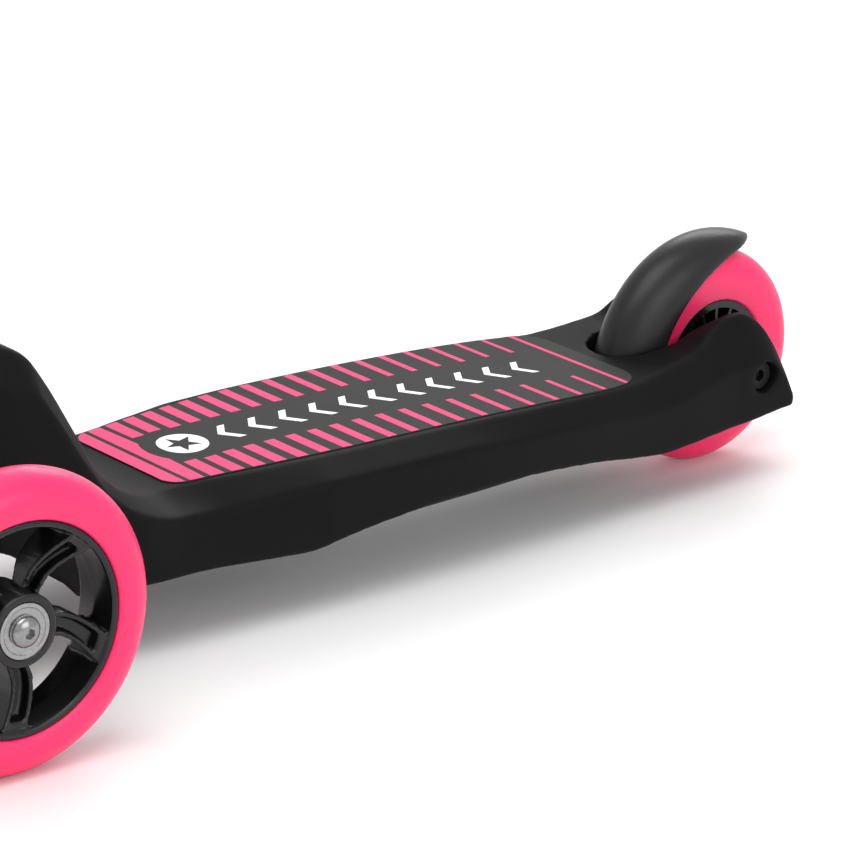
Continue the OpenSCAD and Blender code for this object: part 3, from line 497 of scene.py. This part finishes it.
def deck_ring(y, inset=0.0, skin=0.0, floor=None):
    """A cross-section of the moulding at y, drawn in by inset at the sides and skin at the top."""
    crease, top, z_top, z_crease, z_low = deck_values(y)
    valley_x, arm_x = 18, 31
    valley = z_top - 0.75 * max(0.0, z_top - deck_top) if y > rear_y - 60 else z_top
    crease, top = crease - inset, top - 0.8 * inset
    z_top, z_crease, valley = z_top - skin, z_crease - 0.7 * skin, valley - skin
    low = z_low if floor is None else floor
    foot = crease - 1 + float(smooth_curve(FLARE, np.clip(y, FLARE[0][0], FLARE[-1][0])))
    edge = 3.5 if y < front_y + 100 else 5
    arm = min(arm_x, top - 3)
    corners = [(arm, z_top, 3), (top, z_top, edge), (crease, z_crease, 4), (foot, low, 2.5),
               (-foot, low, 2.5), (-crease, z_crease, 4), (-top, z_top, edge), (-arm, z_top, 3),
               (-valley_x + 6, valley, 3), (valley_x - 6, valley, 3)]
    return [(a, y, b) for a, b in rounded(corners)]


def stations(y0, y1, step):
    return np.linspace(y0, y1, max(2, int(round(abs(y1 - y0) / step)) + 1))


def deck_moulding():
    """The black deck, front block and rear fork, moulded as one hollow piece."""
    ends = (STATIONS[0][0], STATIONS[-1][0])
    body = loft("deck_moulding", [deck_ring(y) for y in stations(*ends, 3)])
    wall, skin = 3.2, 3.8
    bays = [loft("bay", [deck_ring(y, wall, skin, 0) for y in stations(front_y - 42, front_y + 78, 4)]),
            loft("bay", [deck_ring(y, wall, skin, 0) for y in stations(front_y + 90, rear_y - 110, 6)])]
    # Wheel arches: one long arc across the block, and the room the leaning truck needs
    side_x, arch_r = 80, 100
    arch = rod("arch", -side_x, side_x, arch_r, front_y, front_r + 7 - arch_r, 160)
    room = box_solid("room", (-side_x, front_y - 29, 0), (side_x, front_y + 36, front_r + 10))
    upper_room = box_solid("room", (-side_x, front_y - 15, 0), (side_x, front_y + 22, front_r + 24))
    cut(body, *bays)
    collar_r, stem_bore_r, kingpin_bore_r, recess_r = 24, 20, 5, 7.2
    core = box_solid("core", (-44, front_y - 3, front_r + 40), (44, front_y + 9, block_top + 2))
    post = upright_on_stem("post", collar_r, -5, 62)
    for extra in (core, post):
        trim = loft("trim", [deck_ring(y) for y in stations(*ends, 3)])
        combine(extra, trim, "INTERSECT")
        combine(body, extra, "UNION")
    cut(body, arch, room, upper_room)
    combine(body, upright_on_stem("collar", collar_r, 34, 66), "UNION")
    cut(body, upright_on_stem("bore", stem_bore_r, -6, 120), kingpin_rod("bore", kingpin_bore_r, -10, 50))
    slot = loft("slot", [[(x, y, z) for x, y in slot_outline(slot_half)] for z in (-1, 140)])
    pocket = box_solid("pocket", (-slot_half, pin_y - barrel_r - 1, -1),
                       (slot_half, pin_y + 20, pin_z + barrel_r + 1))
    cut(body, slot, pocket, rod("pin_bore", -pin_high[0], pin_high[0], pin_r, pin_y, pin_z, 48))
    for side in (-1, 1):
        cut(body, rod("recess", side * 35, side * 60, recess_r, rear_y, rear_r, 48))
    rib_half = 1.25
    for x in (-27, 0, 27):
        rib = box_solid("rib", (x - rib_half, front_y + 84, deck_top - 14),
                        (x + rib_half, rear_y - 104, deck_top - 3.5))
        combine(body, rib, "UNION")
    return moulded(body, 1.15, smooth=3, keep=0.3)


def combine(obj, other, operation):
    mod = obj.modifiers.new("combine", "BOOLEAN")
    mod.operation = operation
    mod.solver = "EXACT"
    mod.object = other
    bake_modifiers(obj)
    bpy.data.objects.remove(other)


# Stem frame: origin at the socket's bottom, raked back from upright.
slide = joint("bar_height")
stem_axis = np.array(slide["axis"], float)
rake = math.atan2(stem_axis[1], stem_axis[2])
stem_base = np.array([0, front_y + 3, front_r + 40])
kingpin_lean = math.radians(40)


def on_stem(points):
    """Points of the stem frame in the row frame."""
    c, s = math.cos(rake), math.sin(rake)
    return [(x, stem_base[1] + y * c + z * s, stem_base[2] - y * s + z * c) for x, y, z in points]


def circle(r, steps=64, z=0.0):
    return [(r * math.cos(2 * math.pi * i / steps), r * math.sin(2 * math.pi * i / steps), z)
            for i in range(steps)]


def upright_on_stem(name, r, z0, z1):
    return loft(name, [on_stem(circle(r, z=z)) for z in (z0, z1)])


def on_kingpin(points):
    c, s = math.cos(kingpin_lean), math.sin(kingpin_lean)
    return [(x, front_y + y * c - z * s, front_r + y * s + z * c) for x, y, z in points]


def kingpin_rod(name, r, z0, z1):
    return loft(name, [on_kingpin(circle(r, z=z)) for z in (z0, z1)])


def slot_outline(half, back=120, steps=24):
    """Half-round front and straight sides, seen from above."""
    slot_y = rear_y + fender_r * math.sin(math.radians(fender_from)) - 1.5 + half
    arc = [(half * math.cos(a), slot_y + half * math.sin(a))
           for a in np.linspace(math.pi, 2 * math.pi, steps)]
    return arc + [(half, slot_y + back), (-half, slot_y + back)]


place(deck_moulding(), deck_black, "frame", "deck_plastic", "deck_shell")


# ---------- standing surface ----------

def sheet_half(y):
    """Half-width of the anti-slip sheet, with its front and rear corners rounded."""
    sides = [(front_y + 134, 34.8), (front_y + 149, 36.5), (front_y + 177, 39.8), (front_y + 207, 42.5),
             (front_y + 226, 43.5), (front_y + 267, 44), (front_y + 319, 43.5), (front_y + 349, 42.5),
             (rear_y - 96, 41.5), (rear_y - 82, 39.5), (rear_y - 70, 37)]
    half = float(smooth_curve(sides, np.clip(y, sides[0][0], sides[-1][0])))
    for into, r in ((y - sheet_front, 8), (sheet_back - y, 12)):
        if into < r:
            half -= r - math.sqrt(max(0.0, r * r - (r - into) ** 2))
    return half


sheet_front, sheet_back = front_y + 134, rear_y - 70.5
sheet_t = 0.5
print_t = 0.07


def on_deck(x, y, up):
    """A point on the arched deck, lifted by up. The front edge of the sheet is drawn back a little."""
    dip = 1.6 * (1 + math.cos(math.pi * min(1.0, abs(x) / 31))) * max(0.0, 1 - (y - sheet_front) / 30)
    return (x, y + dip, deck_top - arch_drop(y) + up)


def sheet():
    """The grey anti-slip sheet bonded along the arched deck."""
    rings = []
    across = np.linspace(-1, 1, 15)
    for y in np.concatenate([np.linspace(sheet_front, sheet_front + 8, 9)[:-1],
                             np.linspace(sheet_front + 8, sheet_back - 12, 60),
                             np.linspace(sheet_back - 12, sheet_back, 12)[1:]]):
        half = max(sheet_half(y), 1.0)
        rings.append([on_deck(half * u, y, sheet_t) for u in across]
                     + [on_deck(half * u, y, -0.4) for u in across[::-1]])
    return shade(loft("anti_slip_sheet", rings), 30)


def flat_print(name, outlines, up=sheet_t, thick=print_t):
    """Thin printed areas that follow the arched sheet."""
    parts = []
    for outline in outlines:
        parts.append(loft(name, [[on_deck(x, y, up - 0.05) for x, y in outline],
                                 [on_deck(x, y, up + thick) for x, y in outline]]))
    return join(name, parts)


disc_y = front_y + 165.5
keep_clear = 19.0


def stripe(k):
    """Outlines of the k-th stripe across the sheet: whole, or a left and a right piece."""
    y = front_y + 137.5 + 9.05 * k + 0.317 * k * (k - 1) / 2
    half_t = (6.9 - 0.235 * k) / 2
    inner = 17.3 + 2.7 * k / 20
    low, high = y - half_t, y + half_t
    low, high = max(low, sheet_front + 0.2), min(high, sheet_back - 0.2)
    edge = [(sheet_half(v) - 0.15, v) for v in np.linspace(low, high, 5)]

    def clear(v):
        return math.sqrt(max(0.0, keep_clear ** 2 - (v - disc_y) ** 2))

    if k in (0, 1, 20):
        back = [(clear(v), v) for v in np.linspace(high, low, 9) if clear(v) > 0]
        if back:
            back.append((0, disc_y - keep_clear))
        return [edge + back + [(-x, v) for x, v in reversed(back[:-1])]
                + [(-x, v) for x, v in reversed(edge)]]
    back = [(max(inner, clear(v)), v) for v in np.linspace(high, low, 9)]
    right = edge + back
    return [right, [(-x, v) for x, v in right]]


def star(points, outer, inner, y0):
    pts = []
    for i in range(2 * points):
        a = math.pi * i / points
        r = outer if i % 2 == 0 else inner
        pts.append((r * math.sin(a), y0 - r * math.cos(a)))
    return pts


def chevrons():
    """Forward-pointing arrows down the middle of the sheet."""
    out = []
    for i in range(11):
        y = front_y + 184 + 16.2 * i
        out.append([(0, y), (8, y + 5.5), (8, y + 9.2), (0, y + 3.7), (-8, y + 9.2), (-8, y + 5.5)])
    return out


place(sheet(), film_grey, "frame", "grip_film", "grip_sheet")
place(flat_print("stripes", [o for k in range(21) for o in stripe(k)]), print_pink, "frame", "grip_film")
disc = [(11.3 * math.cos(a), disc_y + 11.3 * math.sin(a)) for a in np.linspace(0, 2 * math.pi, 48)[:-1]]
place(flat_print("disc", [disc]), print_white, "frame", "grip_film")
place(flat_print("star", [star(5, 8.6, 3.5, disc_y)], up=sheet_t + print_t, thick=0.05), film_grey,
      "frame", "grip_film")
place(flat_print("chevrons", chevrons()), print_white, "frame", "grip_film")


# ---------- wheels ----------

def tyre(name, x, y, r, rim):
    """Solid tyre with a half-round crown and softly rounded inner edges."""
    half = tyre_w / 2
    flank = r - tyre_crown
    crown = [(flank + tyre_crown * math.cos(a), half * math.sin(a))
             for a in np.linspace(-math.pi / 2, math.pi / 2, 25)]
    foot = 1.4
    left = [(rim, -half + foot), (rim + 0.4 * foot, -half + 0.4 * foot), (rim + foot, -half)]
    right = [(a, -b) for a, b in reversed(left)]
    return shade(turned(name, left + crown + right, (x, y, r), 128), 40)


def hub(name, side):
    """Five-spoke hub. Each spoke is a curved channel of two ribs that rises towards the rim."""
    x = side * wheel_x
    width = tyre_w / 2 - 1
    rim_in = front_rim - 3
    bore, seat, boss, seat_deep = 9.5, 11, 14.5, width - 7
    rim_profile = [(front_rim, -width), (front_rim, width), (rim_in + 0.5, width), (rim_in, width - 1),
                   (rim_in - 1.2, 0), (rim_in, 1 - width), (rim_in + 0.5, -width)]
    boss_profile = [(bore, -seat_deep), (seat, -seat_deep), (seat, -width), (boss - 0.5, -width),
                    (boss, 0.5 - width), (boss, width - 0.5), (boss - 0.5, width), (seat, width),
                    (seat, seat_deep), (bore, seat_deep)]
    parts = [turned("rim", rim_profile, (x, front_y, front_r), 128),
             turned("boss", boss_profile, (x, front_y, front_r), 96)]
    first_spoke, spoke_start, spoke_end, channel_end = 48, 13, 41, 36.3
    wall = 1.9
    swirl = [(13, 11.0), (16, 12.0), (21, 14.0), (26, 11.0), (32, 6.0), (37, 2.0), (41, 0.5)]
    for i in range(5):
        rings = []
        for r in np.linspace(spoke_start, spoke_end, 25):
            turn = math.radians(first_spoke + 72 * i + np.interp(r, *zip(*swirl)))
            out = float(np.clip((r - 14) / 24, 0, 1))
            h = 4.25 + 1.25 * out
            top = 3.5 + 6.2 * out
            floor_up = top - 4.6 if r < channel_end else top - 0.2
            base = -3.5 - 5 * out
            section = [(-h, base), (h, base), (h, top), (h - wall, top), (h - wall - 0.3, floor_up),
                       (wall + 0.3 - h, floor_up), (wall - h, top), (-h, top)]
            rings.append([(x + side * up, front_y + r * math.cos(turn) - t * math.sin(turn),
                           front_r + r * math.sin(turn) + t * math.cos(turn)) for t, up in section])
        parts.append(loft("spoke", rings))
    return moulded(join(name, parts), 0.62, smooth=2, keep=0.35)


for side, word in ((1, "left"), (-1, "right")):
    wheel = "front_%s_wheel" % word
    place(tyre("%s_tyre" % word, side * wheel_x, front_y, front_r, front_rim), tyre_pink, wheel, "tyre_pu",
          "front_%s_tyre" % word)
    place(hub("%s_hub" % word, side), hub_black, wheel, "hub_plastic", "front_%s_hub" % word)
place(tyre("back_tyre", 0, rear_y, rear_r, rear_rim), tyre_pink, "rear_wheel", "tyre_pu", "rear_tyre")


# ---------- fender ----------

def fender_ring(t, wall=0.0, open_by=0.0, start=0.0):
    """A half-oval across the fender, t = 0 at its base and 1 at its tip."""
    w = fender_half * (1 - 0.6 * t ** 6)
    if t > 0.88:
        w *= math.sqrt(max(0.04, 1 - ((t - 0.88) / 0.125) ** 2))
    d = 1.8 + 22.5 * (1 - t ** 2.3)
    w, out = max(w - wall, 0.4), fender_r - wall
    a = math.radians(fender_from + start + (fender_to - fender_from - start) * t)
    arch = [(w * math.cos(b), out - 0.97 * d * (1 - math.sin(b))) for b in np.linspace(0, math.pi, 33)]
    low = out - d - open_by
    section = [(w, low)] + arch + [(-w, low)]
    return [(x, rear_y + r * math.sin(a), crown_z + r * math.cos(a)) for x, r in section]


def fender():
    shell = loft("mudguard", [fender_ring(t) for t in np.linspace(0, 1, 61)])
    room = loft("room", [fender_ring(t, fender_wall, 20, -1) for t in np.linspace(0, 0.985, 61)])
    cut(shell, room)
    combine(shell, rod("barrel", -fender_half, fender_half, barrel_r, pin_y, pin_z), "UNION")
    cut(shell, rod("pin_room", -40, 40, pin_r + 0.2, pin_y, pin_z),
        rod("gap", -7, 7, barrel_r + 0.2, pin_y, pin_z))
    return moulded(shell, 0.5, smooth=6, keep=0.3)


place(fender(), fender_black, "fender", "fender_plastic", "fender")


# ---------- bar grips ----------

def grip(name, node, inner):
    """Ribbed sleeve with a flange at its inner end."""
    low, high = box_mm(node)
    y, z = (low[1] + high[1]) / 2, (low[2] + high[2]) / 2
    big = (high[2] - low[2]) / 2
    length = high[0] - low[0]
    away = 1 if low[0] > 0 else -1
    near = low[0] if away > 0 else high[0]
    bore = box_mm("handlebar")
    bore_r = (bore[1][2] - bore[0][2]) / 2
    ribs = 22
    pitch = (length - 14) / ribs
    profile = [(bore_r, 0), (big - 1, 0), (big, 1), (big, 2.5), (big - 1.5, 3.5), (inner, 5)]
    for i in range(ribs):
        at = 7 + i * pitch
        profile += [(inner, at), (inner + 0.8, at + 0.22 * pitch), (inner + 0.8, at + 0.5 * pitch),
                    (inner, at + 0.72 * pitch)]
    profile += [(inner, length - 3), (inner - 1.5, length - 0.4), (inner - 2.2, length), (bore_r, length)]
    return shade(turned(name, [(r, away * a) for r, a in profile], (near, y, z), 72), 40)


for word in ("left", "right"):
    low, high = box_mm("%s_grip" % word)
    sleeve = grip("%s_sleeve" % word, "%s_grip" % word, (high[2] - low[2]) / 2 - 3)
    place(sleeve, grip_pink, "bar", "grip_rubber", "%s_grip" % word)


# ---------- pieces kept as built, with softened edges ----------

KEPT = {
    cover_black: ["deck_cover"],
    joint_black: ["clamp_collar", "truck_beam", "clamp_lever", "t_joint", "left_end_cap", "right_end_cap"],
    bush_black: ["guide_bush"],
    urethane_cream: ["truck_bushings"],
    aluminium: ["lower_tube", "upper_tube", "handlebar"],
    hub_black: ["rear_core"],
    steel_ground: ["front_left_bearings", "front_right_bearings", "rear_bearings", "brake_pad"],
    steel_bolt: ["front_left_bolt", "front_right_bolt"],
    # The rear axle bolt and nut are made nearly black as painted shade inside their recesses.
    dark_steel_and_recess_shade: ["rear_axle_bolt", "rear_axle_nut", "cover_screws", "fender_pin"],
    steel_zinc: ["stem_socket", "kingpin", "kingpin_washer", "kingpin_nut", "rear_spacers", "clamp_bolt",
                 "clamp_nut", "lever_pin", "axle_washers", "front_left_sleeve", "front_right_sleeve",
                 "fender_spring", "pad_screws", "release_button", "release_spring", "t_joint_screw"],
}
SOFT = {"deck_cover": 0.8, "clamp_collar": 0.9, "truck_beam": 1.4, "clamp_lever": 0.8, "t_joint": 1.2}
for mat, names in KEPT.items():
    for name in names:
        obj = frame["nodes"][name]
        obj.data.materials.clear()
        obj.data.materials.append(mat)
        weld = obj.modifiers.new("weld", "WELD")
        weld.merge_threshold = 0.000002
        soft = obj.modifiers.new("soft_edges", "BEVEL")
        soft.width = SOFT.get(name, 0.3) * MM
        soft.segments = 2
        soft.limit_method = "ANGLE"
        soft.angle_limit = math.radians(40)
        soft.harden_normals = True



# ---------- the view ----------

def camera():
    cam = bpy.data.cameras.new("camera")
    cam.lens = 173.43
    cam.sensor_width = 36
    obj = bpy.data.objects.new("camera", cam)
    bpy.context.scene.collection.objects.link(obj)
    yaw, pitch, roll = (math.radians(a) for a in (49.445, 19.018, 2.263))
    back = Vector((math.sin(yaw) * math.cos(pitch), -math.cos(yaw) * math.cos(pitch), math.sin(pitch)))
    right = Vector((math.cos(yaw), math.sin(yaw), 0))
    up = back.cross(right)
    tilted = math.cos(roll) * right + math.sin(roll) * up
    upward = -math.sin(roll) * right + math.cos(roll) * up
    turn = Matrix((tilted, upward, back)).transposed().to_4x4()
    obj.matrix_world = Matrix.Translation((1.275256, -1.019301, 0.624636)) @ turn
    bpy.context.scene.camera = obj


def softbox(name, place_at, aim, size, power):
    light = bpy.data.lights.new(name, "AREA")
    light.shape = "RECTANGLE"
    light.size, light.size_y = size
    light.energy = power
    obj = bpy.data.objects.new(name, light)
    obj.location = place_at
    obj.rotation_euler = (Vector(aim) - Vector(place_at)).to_track_quat("-Z", "Y").to_euler()
    bpy.context.scene.collection.objects.link(obj)


def studio():
    world = bpy.data.worlds.new("studio")
    world.use_nodes = True
    world.node_tree.nodes["Background"].inputs["Color"].default_value = (1, 1, 1, 1)
    world.node_tree.nodes["Background"].inputs["Strength"].default_value = 0.85
    bpy.context.scene.world = world
    bpy.context.scene.view_settings.view_transform = "Standard"
    softbox("key", (0.4, -0.6, 2.2), (0, 0, 0.1), (1.6, 1.6), 26)
    softbox("side", (2.0, 0.2, 0.9), (0, 0, 0.1), (1.2, 1.0), 9)
    softbox("back", (-1.2, 1.6, 1.4), (0, 0, 0.2), (1.4, 1.0), 14)


def floor():
    size = 6.0
    mesh = bpy.data.meshes.new("floor")
    mesh.from_pydata([(-size, -size, 0), (size, -size, 0), (size, size, 0), (-size, size, 0)], [],
                     [(0, 1, 2, 3)])
    obj = bpy.data.objects.new("floor", mesh)
    bpy.context.scene.collection.objects.link(obj)
    mat, nodes, links, shader = material("floor_paint", (0.86, 0.86, 0.86), 0.6)
    bump(nodes, links, shader, noise(nodes, links, 60, 3), 0.0001)
    obj.data.materials.append(mat)


camera()
studio()
floor()
